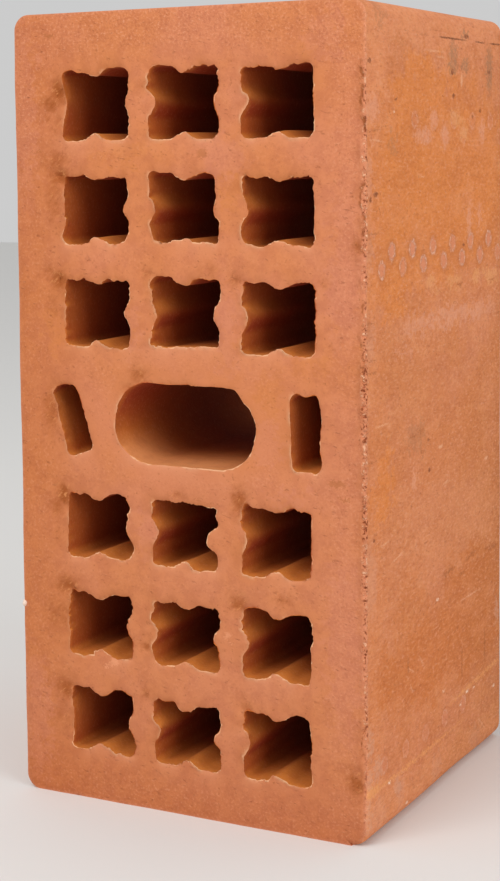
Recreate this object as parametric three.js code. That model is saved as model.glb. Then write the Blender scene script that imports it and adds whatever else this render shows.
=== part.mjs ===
// Perforated clay brick: one block of clay, pushed through a die and cut off by two wires.
//
// Millimetres, +Z up. The brick stands on its end. X runs across its perforated faces, Y is the
// way the clay left the die, from one wire-cut face to the other, and Z is the brick's length.
// The origin is the middle of the lower end.

import * as THREE from "three";

// ---- Driving dimensions ----

// The block
const LENGTH = 250;
const WIDTH = 120;
const DEPTH = 120; // between the two wire cuts
const EDGE_RADIUS = 5; // rounded by the die, on the four edges along the perforations

// Solid clay left round the perforations. The core plate sits a little off the die's middle.
const LEFT_WALL = 17.5;
const UPPER_RIGHT_WALL = 16.2;
const LOWER_RIGHT_WALL = 17.9;
const TOP_WALL = 17.6;
const BOTTOM_WALL = 15.4;
const UPPER_COLUMN_WEB = 7.6; // between two neighbouring columns
const LOWER_COLUMN_WEB = 8.1;
const ROW_WEB = 10.2; // between two neighbouring rows
const GRIP_WEB = 10.4; // between the finger hole and the rows next to it

// Small perforations, in a block of rows above the finger hole and a slightly narrower one below it
const COLUMNS = 3;
const ROWS_PER_BLOCK = 3;
const CORE_CORNER_RADIUS = 2;
const RIB_DEPTH = 2.1; // how far a rib stands into its perforation
const RIB_WIDTH = 10.5; // measured at its foot

// Finger hole through the middle, to lift the brick with one hand
const FINGER_HOLE_WIDTH = 49.3;
const FINGER_HOLE_HEIGHT = 25.3;
const FINGER_HOLE_DROP = 2.4; // its axis below the middle of the length

// One slot on each side of the finger hole. The clay pulled both out of true, the left one most.
const SLOT_WIDTH = 9.2;
const SLOT_HEIGHT = 22.6;
const SLOT_CORNER_RADIUS = 2;
const SLOT_WEB = 11.2; // clay between the finger hole and a slot, at the slot's middle
const LEFT_SLOT_LEAN = 17; // degrees, the top towards -X
const RIGHT_SLOT_LEAN = 1.5;

// Facets: a round arc has twice this number and a wave's flank has this number. A quarter turn is
// one arc, or two where its radius is large.
const CURVE_SEGMENTS = 3;
const LARGE_RADIUS = 4;

// ---- Sizes worked out from them ----

const fingerHoleZ = LENGTH / 2 - FINGER_HOLE_DROP;
const reachOfGrip = FINGER_HOLE_HEIGHT / 2 + GRIP_WEB;
const slotOffset = FINGER_HOLE_WIDTH / 2 + SLOT_WEB + SLOT_WIDTH / 2;

const upperBlock = {
  columns: spreadColumns(UPPER_RIGHT_WALL, UPPER_COLUMN_WEB),
  rows: spread(fingerHoleZ + reachOfGrip, LENGTH - TOP_WALL, ROWS_PER_BLOCK, ROW_WEB),
  gripRow: 0, // the row next to the finger hole
  gripSide: "bottom", // the side on which that row looks at the finger hole
};
const lowerBlock = {
  columns: spreadColumns(LOWER_RIGHT_WALL, LOWER_COLUMN_WEB),
  rows: spread(BOTTOM_WALL, fingerHoleZ - reachOfGrip, ROWS_PER_BLOCK, ROW_WEB),
  gripRow: ROWS_PER_BLOCK - 1,
  gripSide: "top",
};

// Shares the stretch from low to high out among equal cells with a web between each two.
function spread(low, high, count, web) {
  const size = (high - low - (count - 1) * web) / count;
  return Array.from({ length: count }, (_, i) => ({ size, middle: low + size / 2 + i * (size + web) }));
}

function spreadColumns(rightWall, web) {
  return spread(LEFT_WALL - WIDTH / 2, WIDTH / 2 - rightWall, COLUMNS, web);
}

// ---- Outlines, in the plane of the perforated face ----

const SIDES = ["bottom", "right", "top", "left"]; // in the order in which an outline runs

// A rectangle with round corners. Each side named in ribbed has a rib at its middle: a smooth wave
// that stands into the rectangle.
function roundedRectangle(outline, { x, z, width, height, radius, lean = 0, ribbed = [] }) {
  SIDES.forEach((side, turn) => {
    const upright = turn % 2 === 1;
    const half = (upright ? height : width) / 2;
    const reach = (upright ? width : height) / 2;
    const angle = (turn * Math.PI) / 2 + THREE.MathUtils.degToRad(lean);
    const at = (along, inward) =>
      new THREE.Vector2(along, inward - reach).rotateAround(new THREE.Vector2(), angle).add(new THREE.Vector2(x, z));

    const start = at(radius - half, 0);
    if (turn === 0) {
      outline.moveTo(start.x, start.y);
    }
    if (ribbed.includes(side)) {
      addRib(outline, at);
    }
    addQuarterTurn(outline, at(half - radius, radius), radius, angle - Math.PI / 2);
  });
  return outline;
}

function addQuarterTurn(outline, centre, radius, start) {
  const arcs = radius > LARGE_RADIUS ? 2 : 1;
  const sweep = Math.PI / 2 / arcs;
  for (let i = 0; i < arcs; i += 1) {
    outline.absarc(centre.x, centre.y, radius, start + i * sweep, start + (i + 1) * sweep, false);
  }
}

// The wave of one rib, from foot to crest to foot.
function addRib(outline, at) {
  const foot = RIB_WIDTH / 2;
  const points = [at(-foot, 0), at(-foot / 2, 0), at(-foot / 2, RIB_DEPTH), at(0, RIB_DEPTH)];
  const back = [at(foot / 2, RIB_DEPTH), at(foot / 2, 0), at(foot, 0)];
  outline.lineTo(points[0].x, points[0].y);
  for (const [a, b, c] of [points.slice(1), back]) {
    outline.bezierCurveTo(a.x, a.y, b.x, b.y, c.x, c.y);
  }
}

// The finger hole: a straight middle with a half-round end on each side.
function fingerHole() {
  const radius = FINGER_HOLE_HEIGHT / 2;
  const straight = FINGER_HOLE_WIDTH / 2 - radius;
  const outline = new THREE.Path();
  for (let turn = -1; turn < 3; turn += 1) {
    const centre = new THREE.Vector2(turn < 1 ? straight : -straight, fingerHoleZ);
    addQuarterTurn(outline, centre, radius, (turn * Math.PI) / 2);
  }
  return outline;
}

function slot(side, lean) {
  return roundedRectangle(new THREE.Path(), {
    x: side * slotOffset,
    z: fingerHoleZ,
    width: SLOT_WIDTH,
    height: SLOT_HEIGHT,
    radius: SLOT_CORNER_RADIUS,
    lean,
  });
}

// The sides of a perforation that carry no rib: those that look at a long face of the brick or
// straight at the finger hole.
function bareSides(block, columnIndex, rowIndex) {
  const overGrip = Math.abs(block.columns[columnIndex].middle) < FINGER_HOLE_WIDTH / 2;
  return [
    columnIndex === 0 && "left",
    columnIndex === COLUMNS - 1 && "right",
    rowIndex === block.gripRow && overGrip && block.gripSide,
  ];
}

function perforations(block) {
  return block.rows.flatMap((row, rowIndex) =>
    block.columns.map((column, columnIndex) => {
      const bare = bareSides(block, columnIndex, rowIndex);
      return roundedRectangle(new THREE.Path(), {
        x: column.middle,
        z: row.middle,
        width: column.size,
        height: row.size,
        radius: CORE_CORNER_RADIUS,
        ribbed: SIDES.filter((side) => !bare.includes(side)),
      });
    }),
  );
}

// ---- The brick ----

function perforatedBrick() {
  const section = roundedRectangle(new THREE.Shape(), {
    x: 0,
    z: LENGTH / 2,
    width: WIDTH,
    height: LENGTH,
    radius: EDGE_RADIUS,
  });
  section.holes = [
    ...perforations(lowerBlock),
    ...perforations(upperBlock),
    fingerHole(),
    slot(-1, LEFT_SLOT_LEAN),
    slot(1, RIGHT_SLOT_LEAN),
  ];

  const geometry = new THREE.ExtrudeGeometry(section, {
    depth: DEPTH,
    bevelEnabled: false,
    curveSegments: CURVE_SEGMENTS,
  });
  const firedClay = new THREE.MeshStandardMaterial({ color: 0xd2845a, roughness: 0.9, metalness: 0 });

  const brick = new THREE.Mesh(geometry, firedClay);
  brick.name = "perforated_brick";
  brick.rotation.x = Math.PI / 2; // the section's upward direction becomes +Z
  brick.position.y = DEPTH / 2;
  return brick;
}

const part = new THREE.Group();
part.add(perforatedBrick());

export default part;
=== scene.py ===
# %% [markdown]
# # A perforated clay brick
#
# The brick is one block of clay. A machine pushes a long bar of wet clay through a die, whose cores leave
# the perforations open from end to end, and two wires cut the bar into bricks. So the brick has three
# kinds of surface: two matt faces torn by the wires, a smoother skin where the clay slid along the die,
# and the walls of the perforations. This lesson models the block in that order, first pushed, then cut,
# and then gives each kind of surface its own finish.

# %% Load the model that the brick is fitted to
import math
import random

import bpy
import numpy as np
from mathutils import Matrix, Vector, noise
from mathutils.kdtree import KDTree


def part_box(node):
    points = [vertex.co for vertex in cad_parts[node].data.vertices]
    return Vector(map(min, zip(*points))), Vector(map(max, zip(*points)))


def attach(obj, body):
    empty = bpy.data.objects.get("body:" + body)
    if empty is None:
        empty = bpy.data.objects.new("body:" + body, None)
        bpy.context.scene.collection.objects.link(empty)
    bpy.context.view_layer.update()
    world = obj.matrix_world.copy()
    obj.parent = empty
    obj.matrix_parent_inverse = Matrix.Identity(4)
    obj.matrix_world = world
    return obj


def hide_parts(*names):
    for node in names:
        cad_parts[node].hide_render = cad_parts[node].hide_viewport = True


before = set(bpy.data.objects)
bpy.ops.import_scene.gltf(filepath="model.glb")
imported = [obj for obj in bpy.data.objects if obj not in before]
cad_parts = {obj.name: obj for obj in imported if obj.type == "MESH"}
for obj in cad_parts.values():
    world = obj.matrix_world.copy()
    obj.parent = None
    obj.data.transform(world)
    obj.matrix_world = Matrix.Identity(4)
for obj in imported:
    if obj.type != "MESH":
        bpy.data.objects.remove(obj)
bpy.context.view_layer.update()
lowest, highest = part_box("perforated_brick")
MM = 0.001
WIDTH, DEPTH, LENGTH = (highest - lowest) / MM
print(f"the brick is {WIDTH:.0f} mm wide, {DEPTH:.0f} mm deep and {LENGTH:.0f} mm long")

# %% [markdown]
# ## Camera
#
# A long lens stands a little to the right of the brick and looks down on it slightly. The lens is
# shifted, as on a view camera, so that the upright edges stay nearly upright in the picture.

# %% Camera
PICTURE_LONG_SIDE = 881  # pixels
FOCAL_LENGTH = 1837.0  # pixels
CAMERA_PLACE = (0.2665, -0.5501, 0.2067)
CAMERA_TURN = {"left": 28.65, "down": 4.62, "roll": 0.64}  # degrees
LENS_SHIFT = (0.08, -0.16)

camera = bpy.data.objects.new("camera", bpy.data.cameras.new("camera"))
bpy.context.scene.collection.objects.link(camera)
camera.data.lens = FOCAL_LENGTH * camera.data.sensor_width / PICTURE_LONG_SIDE
camera.data.shift_x, camera.data.shift_y = LENS_SHIFT
camera.matrix_world = (
    Matrix.Translation(CAMERA_PLACE)
    @ Matrix.Rotation(math.radians(CAMERA_TURN["left"]), 4, "Z")
    @ Matrix.Rotation(math.radians(90 - CAMERA_TURN["down"]), 4, "X")
    @ Matrix.Rotation(math.radians(-CAMERA_TURN["roll"]), 4, "Z")
)
bpy.context.scene.camera = camera
bpy.context.scene.view_settings.view_transform = "Standard"
print(f"the lens is {camera.data.lens:.1f} mm long")

# %% [markdown]
# ## Floor and light
#
# Fired clay is matt, so it wants broad soft light: one large lamp above and in front, a weaker one from
# the right to reach into the perforations, and an even sky for the rest.

# %% Floor and sky
FLOOR_SIDE = 6  # metres
FLOOR_COLOUR, FLOOR_ROUGHNESS = (0.80, 0.79, 0.77, 1), 0.9
SKY_COLOUR, SKY_STRENGTH = (1, 1, 1, 1), 0.6

pale_floor = bpy.data.materials.new("pale_floor")
pale_floor.use_nodes = True
shader = pale_floor.node_tree.nodes["Principled BSDF"]
shader.inputs["Base Color"].default_value = FLOOR_COLOUR
shader.inputs["Roughness"].default_value = FLOOR_ROUGHNESS

bpy.ops.mesh.primitive_plane_add(size=FLOOR_SIDE, location=(0, 0, 0))
floor = bpy.context.object
floor.name = "floor"
floor.data.materials.append(pale_floor)

world = bpy.data.worlds.new("studio")
world.use_nodes = True
sky = world.node_tree.nodes["Background"]
sky.inputs["Color"].default_value = SKY_COLOUR
sky.inputs["Strength"].default_value = SKY_STRENGTH
bpy.context.scene.world = world
print(f"the floor is {FLOOR_SIDE} m wide")

# %% Lamps
LAMPS = (  # name, place and size in metres, and power in watts
    ("lamp_above", (-0.25, -1.05, 1.35), 0.9, 10.9),
    ("lamp_right", (1.75, -0.72, 0.7), 1.0, 12),
)
brick_middle = Vector((0, 0, LENGTH / 2 * MM))

for name, place, size, power in LAMPS:
    lamp = bpy.data.objects.new(name, bpy.data.lights.new(name, "AREA"))
    bpy.context.scene.collection.objects.link(lamp)
    lamp.data.size = size
    lamp.data.energy = power
    lamp.location = place
    lamp.rotation_euler = (brick_middle - Vector(place)).to_track_quat("-Z", "Y").to_euler()
    print(f"{name} is {size} m wide and gives {power} W")

# %% [markdown]
# ## The block
#
# The block starts as a cube at the brick's size. The die rounded its four edges along the perforations,
# which is a bevel. Then it is scored with bisect planes into a fine grid, so that there are points to
# move later: about a millimetre and a half apart on the wire-cut faces, and closest by the edges that the
# wires tore.

# %% Block with the edges rounded by the die
EDGE_RADIUS = 5
EDGE_SEGMENTS = 8
TOUCH = 0.01  # places closer than this are the same, in millimetres


def work_on(piece):
    """Select this piece alone, so that an operator touches nothing else."""
    bpy.ops.object.select_all(action="DESELECT")
    piece.select_set(True)
    bpy.context.view_layer.objects.active = piece


def places_of(piece):
    """Where the piece's points are, in millimetres."""
    flat = np.empty(len(piece.data.vertices) * 3)
    piece.data.vertices.foreach_get("co", flat)
    return flat.reshape(-1, 3) / MM


def move_to(piece, places):
    piece.data.vertices.foreach_set("co", (places * MM).ravel())
    piece.data.update()


def change_chosen(piece, kind, chosen, operator, **settings):
    """Run a mesh operator on the chosen points, edges or faces of a piece."""
    work_on(piece)
    bpy.ops.object.mode_set(mode="EDIT")
    bpy.ops.mesh.select_mode(type=kind)
    bpy.ops.mesh.select_all(action="DESELECT")
    bpy.ops.object.mode_set(mode="OBJECT")
    parts = {"VERT": piece.data.vertices, "EDGE": piece.data.edges, "FACE": piece.data.polygons}[kind]
    parts.foreach_set("select", chosen)
    bpy.ops.object.mode_set(mode="EDIT")
    operator(**settings)
    bpy.ops.object.mode_set(mode="OBJECT")


bpy.ops.mesh.primitive_cube_add(size=1, location=(lowest + highest) / 2)
brick = bpy.context.object
brick.name = "brick"
brick.scale = highest - lowest
bpy.ops.object.transform_apply(location=True, rotation=True, scale=True)

points = places_of(brick)
ends = np.array([edge.vertices for edge in brick.data.edges])
along_perforations = np.abs(points[ends[:, 0], 1] - points[ends[:, 1], 1]) > DEPTH / 2
change_chosen(brick, "EDGE", along_perforations, bpy.ops.mesh.bevel,
              offset=EDGE_RADIUS * MM, segments=EDGE_SEGMENTS, affect="EDGES")
print(f"the block has {len(brick.data.polygons)} faces")

# %% Score the block into a grid
GRID = 1.75
DEPTH_GRID = 5
EDGE_STEPS = (0.45, 1.0, 1.8, 3.0)  # distances from a torn edge


def even(low, high, step):
    """Places between low and high, evenly spaced, without the two ends."""
    count = round((high - low) / step)
    return [low + (high - low) * i / count for i in range(1, count)]


def score(piece, axis, places):
    """Cut across one axis at each place. Nothing is taken away."""
    across = [0, 0, 0]
    across[axis] = 1
    for place in places:
        bpy.ops.mesh.select_all(action="SELECT")
        bpy.ops.mesh.bisect(plane_co=[place * MM * share for share in across], plane_no=across)


def near_edges(low, high, step):
    """Even places, closer together next to both ends."""
    inner = EDGE_STEPS[-1]
    steps = [low + s for s in EDGE_STEPS] + [high - s for s in EDGE_STEPS]
    return sorted(steps + even(low + inner, high - inner, step))


work_on(brick)
bpy.ops.object.mode_set(mode="EDIT")
score(brick, 0, near_edges(-WIDTH / 2, WIDTH / 2, GRID))
score(brick, 2, even(0, LENGTH, GRID))
score(brick, 1, near_edges(-DEPTH / 2, DEPTH / 2, DEPTH_GRID))
bpy.ops.object.mode_set(mode="OBJECT")
print(f"the scored block has {len(brick.data.polygons)} faces")

# %% [markdown]
# ## The openings
#
# Eighteen small perforations stand in three columns, with a finger hole and two slots across the middle.
# A core of the die is a rounded square with a smooth rib on most of its sides. On the wire-cut faces
# nothing is that regular: the wire tears crumbs out of the rim in one place and drags a tongue of clay
# over it in another. Each opening therefore has a true outline, and a list of nicks that fade out a few
# millimetres into the brick.

# %% Places and sizes of the openings
LEFT_WALL = 17.5
RIGHT_WALLS, COLUMN_WEBS = {"upper": 16.2, "lower": 17.9}, {"upper": 7.6, "lower": 8.1}
TOP_WALL, BOTTOM_WALL, ROW_WEB, GRIP_WEB = 17.6, 15.4, 10.2, 10.4
CORE_CORNER_RADIUS = 2
RIB_DEPTH, RIB_WIDTH = 2.1, 10.5
FINGER_HOLE_WIDTH, FINGER_HOLE_HEIGHT, FINGER_HOLE_DROP = 49.3, 25.3, 2.4
SLOT_WIDTH, SLOT_HEIGHT, SLOT_CORNER_RADIUS, SLOT_WEB = 9.2, 22.6, 2, 11.2
LEFT_SLOT_LEAN, RIGHT_SLOT_LEAN = 17, 1.5

finger_hole_z = LENGTH / 2 - FINGER_HOLE_DROP
grip_reach = FINGER_HOLE_HEIGHT / 2 + GRIP_WEB
slot_offset = FINGER_HOLE_WIDTH / 2 + SLOT_WEB + SLOT_WIDTH / 2


def spread(low, high, web, count=3):
    """Share a stretch out among equal cells. Gives their size and middles."""
    size = (high - low - (count - 1) * web) / count
    return size, [low + size / 2 + i * (size + web) for i in range(count)]


stretches = {"upper": (finger_hole_z + grip_reach, LENGTH - TOP_WALL),
             "lower": (BOTTOM_WALL, finger_hole_z - grip_reach)}
blocks = {}
for block, (low, high) in stretches.items():
    width, columns = spread(LEFT_WALL - WIDTH / 2, WIDTH / 2 - RIGHT_WALLS[block], COLUMN_WEBS[block])
    height, rows = spread(low, high, ROW_WEB)
    blocks[block] = (width, height, columns, rows)
    print(f"a perforation of the {block} block is {width:.1f} mm wide and {height:.1f} mm high")

# %% Outlines
SIDES = ("bottom", "right", "top", "left")
SIDE_POINTS, CORNER_POINTS = 160, 24


def rib_wave(along, depth):
    """How far a side stands in, at a distance along it from the rib's middle."""
    wave = depth * (0.5 + 0.5 * np.cos(2 * np.pi * along / RIB_WIDTH))
    return np.where(np.abs(along) < RIB_WIDTH / 2, wave, 0)


def rounded_rectangle(width, height, radius, lean=0, ribs=()):
    """Points round a rectangle about its middle, counter-clockwise. A rib waves each side named in ribs."""
    outline = []
    for turn, side in enumerate(SIDES):
        half, reach = (height, width) if turn % 2 else (width, height)
        half, reach = half / 2, reach / 2
        along = np.linspace(radius - half, half - radius, SIDE_POINTS)
        inward = rib_wave(along, RIB_DEPTH if side in ribs else 0)
        corner = np.radians(np.linspace(-90, 0, CORNER_POINTS))
        along = np.append(along, half - radius + radius * np.cos(corner))
        inward = np.append(inward, radius + radius * np.sin(corner))
        angle = math.radians(90 * turn + lean)
        x, z = along, inward - reach
        outline.append(np.column_stack([x * math.cos(angle) - z * math.sin(angle),
                                        x * math.sin(angle) + z * math.cos(angle)]))
    return np.vstack(outline)


def evenly(outline, count):
    """The same closed outline with points at equal distances, and the direction out of the hole."""
    closed = np.vstack([outline, outline[:1]])
    steps = np.hypot(*np.diff(closed, axis=0).T)
    run = np.append(0, np.cumsum(steps))
    wanted = np.arange(count) * run[-1] / count
    points = np.column_stack([np.interp(wanted, run, closed[:, i]) for i in (0, 1)])
    tangent = np.roll(points, -1, axis=0) - np.roll(points, 1, axis=0)
    tangent /= np.hypot(*tangent.T)[:, None]
    return points, np.column_stack([tangent[:, 1], -tangent[:, 0]])


# %% [markdown]
# A nick is written as four numbers: how far across and up from the opening's middle it sits, how wide it
# reaches along the rim, and how deep it bites into the clay. A negative bite is a tongue of clay that
# stands into the opening.

# %% Nicks in the front rims
FRONT_NICKS = {
    ("upper", 2, 0): [
        (-5, 11, 3.5, -0.9), (1.5, 9, 2, -0.5), (-11.8, 0, 5, -1.8), (11.8, 8, 4, 0.4), (9.8, 0, 3, 1.3),
        (11.8, -6, 3, 0.4),
    ],
    ("upper", 2, 1): [
        (-8, 11, 3, 0.5), (-12, 5, 1.0, 0.6), (-12, -6, 0.9, 0.6), (-9, 2, 2, -0.3), (9.8, 0, 3, 0.7),
        (11, -10.5, 1.2, -0.8),
    ],
    ("upper", 2, 2): [
        (-8, 11, 3.5, -1.2), (8, 11, 4, -0.5), (-10, 0.5, 2, -0.9), (0, -9, 3, 0.4), (3.8, 10, 2, -1.2),
    ],
    ("upper", 1, 0): [
        (9, 10, 4, -1.5), (-8, 11, 4, -1.1), (10.5, -9.5, 1.8, -2.2), (-11.8, -4, 1.8, -1.0),
        (-11.8, 3, 5, -0.5), (4, 10.5, 2.5, -0.6),
    ],
    ("upper", 1, 1): [
        (-8, 11, 3, 0.4), (11.8, 6, 3, -1.5), (11, 10, 2, -1.4), (-10, -9.5, 2.8, -2.0),
        (8, -11, 4, -1.2), (-9.5, 3, 1, -0.8), (0, 10, 1.4, -0.4), (-11.3, 11, 1.4, 0.9),
        (-4.5, -10.5, 2.5, -1.3),
    ],
    ("upper", 1, 2): [
        (-7, 11, 4, -1.5), (6, 11, 5, -1.7), (-11.8, 6, 3, -0.6), (-10, -10, 2.5, -1.0),
        (6, -11, 4, -0.6),
    ],
    ("upper", 0, 0): [
        (-8, 11, 4, -1.2), (8, 11, 4, -1.3), (11, -9, 1.5, -0.5), (-11.8, 0, 6, -0.4),
    ],
    ("upper", 0, 1): [
        (-8, 11.5, 3.5, 0.9), (-2, 10, 2, -0.2), (-11.5, 6, 2, -0.9), (10, 3, 1.5, -1.5),
        (0, -11, 9, -1.3), (5, 10.5, 3.5, 0.7), (-10, 3, 2, -0.8), (8, -11, 4, -1.2),
        (-10, -10.5, 2, -0.9), (11, -10.5, 1.5, -0.8),
    ],
    ("upper", 0, 2): [
        (-8, 11, 3, -0.5), (4, 10, 2.5, -0.8), (-12, 0.5, 1.2, 0.7), (11.8, -4, 2, 0.3),
    ],
    ("lower", 2, 0): [
        (10.5, 9, 2, -1.5), (11, 4, 2.5, -0.6), (-7, 11, 4, -1.1), (-1, 9, 2, -0.7), (10, -10, 2, -0.8),
        (11.6, -6.3, 2.6, 1.3), (5, -10, 3, -0.8), (9.5, 0, 2, 0.5),
    ],
    ("lower", 2, 1): [
        (9, 10, 4, -1.5), (8.8, -1.5, 2.8, -2.6), (9, -5, 2.2, -2.2), (9.5, -9, 1.5, -1.3),
        (4, -10, 2, 0.7), (11.5, 3, 1.5, 0.6), (-6, 10.5, 6, -0.6), (3, 10.5, 4, -0.7),
    ],
    ("lower", 2, 2): [
        (-10, 11.5, 1.5, 1.3), (0, 9, 3, 0.9), (10, -10, 2, -0.8), (-6, 11, 2, -0.5),
    ],
    ("lower", 1, 0): [
        (-1, 9, 3, -0.9), (-8, 11, 4, -0.9), (8, 11, 3, -0.9), (10.5, 8, 1.4, -0.7), (4, 10.5, 2.5, -0.7),
        (-4, 10.5, 2, -0.6),
    ],
    ("lower", 1, 1): [
        (-8, 11, 4, -1.6), (7, 11, 4, -1.2), (0, 9, 3, -0.7), (-9.5, 0, 3, 0.8), (-11.5, 4, 3, 1.0),
        (-11.5, -6, 2.5, 0.7), (10, 9.5, 1.8, -1.0), (11, 3.5, 2, 0.7),
    ],
    ("lower", 1, 2): [
        (-8, 11, 4, 0.5), (4, 10, 3, -0.5), (-11.5, 4, 1.4, 0.4),
    ],
    ("lower", 0, 0): [
        (10, 9.5, 2, -1.0), (-11.5, 0, 7, -1.2), (0, -11, 9, -1.0), (-8, 11, 4, -0.5), (11.3, -6, 3, 0.7),
        (0, 9, 3, -0.8), (9, 0, 2, 0.5),
    ],
    ("lower", 0, 1): [
        (-1.5, 9, 2.6, -1.9), (-8, 11, 3, -1.2), (6, 11, 5, -1.4), (-12, 5, 3, 0.9),
        (-11.5, -4.5, 2, 0.5), (11, 3, 2.5, 0.8),
    ],
    ("lower", 0, 2): [
        (11, 9, 3, -0.6), (-7, 11, 4, -0.6), (-10, 3, 2, -0.6), (3, 9, 2, -0.4), (7, 10.6, 2.5, 0.5),
    ],
    "finger_hole": [
        (20.5, 8.8, 2.2, -0.9), (17, 11.8, 1.6, 0.5), (23, 5, 3.5, -0.6), (24.6, -3, 4, -0.6),
        (-15, 12.6, 3, 0.3), (-21, 9.5, 3, 0.5),
    ],
    "slot_left": [
        (1, 12, 3, -1.0), (-7.7, 9.5, 2, -0.6), (-5.5, 4, 1.5, -0.5), (-1, -11, 2, 0.3),
    ],
    "slot_right": [
        (-2.6, 11.3, 1.4, 0.9), (2.8, 11.3, 1.4, 0.7), (-4.6, -9, 2, -0.4), (3, -11.3, 1, 0.4),
        (4.5, 5, 4.5, 0.8), (4.5, -8, 2.5, 0.6),
    ],
}
print(f"{sum(len(nicks) for nicks in FRONT_NICKS.values())} nicks in the front rims")

# %% Shape of a rim at a distance from its wire cut
RAGGED = ((0.9, 0.45), (2.4, 0.55))  # wavelength and depth of the fine tearing
TORN_STRETCH = 9  # wavelength of the torn and the calm stretches of a rim
TORN_STRENGTH, TORN_CONTRAST, CALMEST, WORST_TORN = 0.9, 1.5, 0.1, 2.0
BITE_INWARD = 1.3  # how far into the brick a nick goes on, in its own widths
STRETCH_SEED, BACK_SEED = 40, 70


def bite(points, nicks, depth):
    """How far each point of an outline moves into the clay, at a depth below the wire cut."""
    total = np.zeros(len(points))
    for across, up, reach, deep in nicks:
        gap = np.hypot(*(points - (across, up)).T)
        total += deep * np.exp(-((gap / reach) ** 2)) * math.exp(-((depth / (BITE_INWARD * reach)) ** 2))
    return total


def tear(points, seed, depth, raggedness):
    """Fine uneven tearing, strong in some stretches of a rim and hardly there in others."""
    total = np.zeros(len(points))
    for wavelength, deep in RAGGED:
        tearing = [noise.noise(Vector((x / wavelength, z / wavelength, seed))) for x, z in points]
        total += np.array(tearing) * deep * math.exp(-((depth / wavelength) ** 2))
    stretches = [Vector((x / TORN_STRETCH, z / TORN_STRETCH, seed + STRETCH_SEED)) for x, z in points]
    strength = [TORN_STRENGTH + TORN_CONTRAST * noise.noise(place) for place in stretches]
    return raggedness * total * np.clip(strength, CALMEST, WORST_TORN)


# %% [markdown]
# The cutter of one opening is a circle drawn out into a long rod in uneven steps, short ones near both
# wire cuts. Its rings are then pressed one by one into the outline that belongs to their depth.

# %% Cutters
RIM_STEP = 0.62  # between two points of a rim
RING_DEPTHS = (0.35, 0.9, 1.8, 3.2, 5.5, 9)
BACK_RING_DEPTHS = (4, 1.5, 0.4)
OVERSHOOT = 0.6  # how far a cutter stands out of the block
RIM_LENGTH = 1.9  # of a rim, to its width and height together
BACK_NICKS, BACK_REACH, BACK_BITE = 5, (1, 4), (-1.3, 0.7)
GRIP_RAGGEDNESS, SLOT_RAGGEDNESS = 0.35, 0.4  # of the tearing round a small perforation

rings = [-OVERSHOOT, *RING_DEPTHS, DEPTH / 2, *[DEPTH - d for d in BACK_RING_DEPTHS], DEPTH + OVERSHOOT]
cutters = []


def random_nicks(outline, seed):
    """Nicks for a rim on the back, where the second wire came out."""
    draw = random.Random(seed)
    spots = [outline[draw.randrange(len(outline))] for _ in range(BACK_NICKS)]
    return [(*spot, draw.uniform(*BACK_REACH), draw.uniform(*BACK_BITE)) for spot in spots]


def cutter(name, middle, outline, raggedness=1.0):
    """A rod in the shape of one opening, at its middle (x, z), with a torn rim at both ends."""
    size = np.ptp(outline, axis=0)
    count = 4 * round(size.sum() * RIM_LENGTH / RIM_STEP / 4)
    points, outward = evenly(outline, count)
    seed = len(cutters) + 1
    nicks = {"front": FRONT_NICKS[name], "back": random_nicks(points, seed)}

    bpy.ops.mesh.primitive_circle_add(
        vertices=count, radius=size.min() / 2 * MM, fill_type="NGON", rotation=(math.pi / 2, 0, 0),
        location=(middle[0] * MM, lowest.y + rings[0] * MM, middle[1] * MM))
    rod = bpy.context.object
    bpy.ops.object.transform_apply(location=True, rotation=True, scale=True)
    bpy.ops.object.mode_set(mode="EDIT")
    bpy.ops.mesh.select_all(action="SELECT")
    for start, end in zip(rings, rings[1:]):
        bpy.ops.mesh.extrude_region_move(TRANSFORM_OT_translate={"value": (0, (end - start) * MM, 0)})
    bpy.ops.object.mode_set(mode="OBJECT")

    places = places_of(rod)
    angle = np.arctan2(places[:, 2] - middle[1], places[:, 0] - middle[0])
    order = np.round(angle / (2 * math.pi) * count).astype(int) % count
    depth = places[:, 1] - lowest.y / MM
    for ring in rings:
        here = np.abs(depth - ring) < TOUCH
        from_front, from_back = max(ring, 0), max(DEPTH - ring, 0)
        move = bite(points, nicks["front"], from_front)
        move += tear(points, seed, from_front, raggedness)
        move += bite(points, nicks["back"], from_back)
        move += tear(points, seed + BACK_SEED, from_back, raggedness)
        shaped = points + outward * move[:, None]
        places[here, 0] = middle[0] + shaped[order[here], 0]
        places[here, 2] = middle[1] + shaped[order[here], 1]
    move_to(rod, places)
    cutters.append(rod)


over_grip = 1  # the middle column stands over the finger hole
for block, (width, height, columns, rows) in blocks.items():
    grip_row, grip_side = (0, "bottom") if block == "upper" else (2, "top")
    for row, z in enumerate(rows):
        for column, x in enumerate(columns):
            bare = {"left"} if column == 0 else {"right"} if column == 2 else set()
            if row == grip_row and column == over_grip:
                bare.add(grip_side)
            ribs = [side for side in SIDES if side not in bare]
            shape = rounded_rectangle(width, height, CORE_CORNER_RADIUS, ribs=ribs)
            cutter((block, row, column), (x, z), shape)

finger_shape = rounded_rectangle(FINGER_HOLE_WIDTH, FINGER_HOLE_HEIGHT, FINGER_HOLE_HEIGHT / 2)
cutter("finger_hole", (0, finger_hole_z), finger_shape, GRIP_RAGGEDNESS)
for name, side, lean in (("slot_left", -1, LEFT_SLOT_LEAN), ("slot_right", 1, RIGHT_SLOT_LEAN)):
    slot_shape = rounded_rectangle(SLOT_WIDTH, SLOT_HEIGHT, SLOT_CORNER_RADIUS, lean)
    cutter(name, (side * slot_offset, finger_hole_z), slot_shape, SLOT_RAGGEDNESS)
print(f"{len(cutters)} cutters with {sum(len(rod.data.vertices) for rod in cutters)} points")

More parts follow.
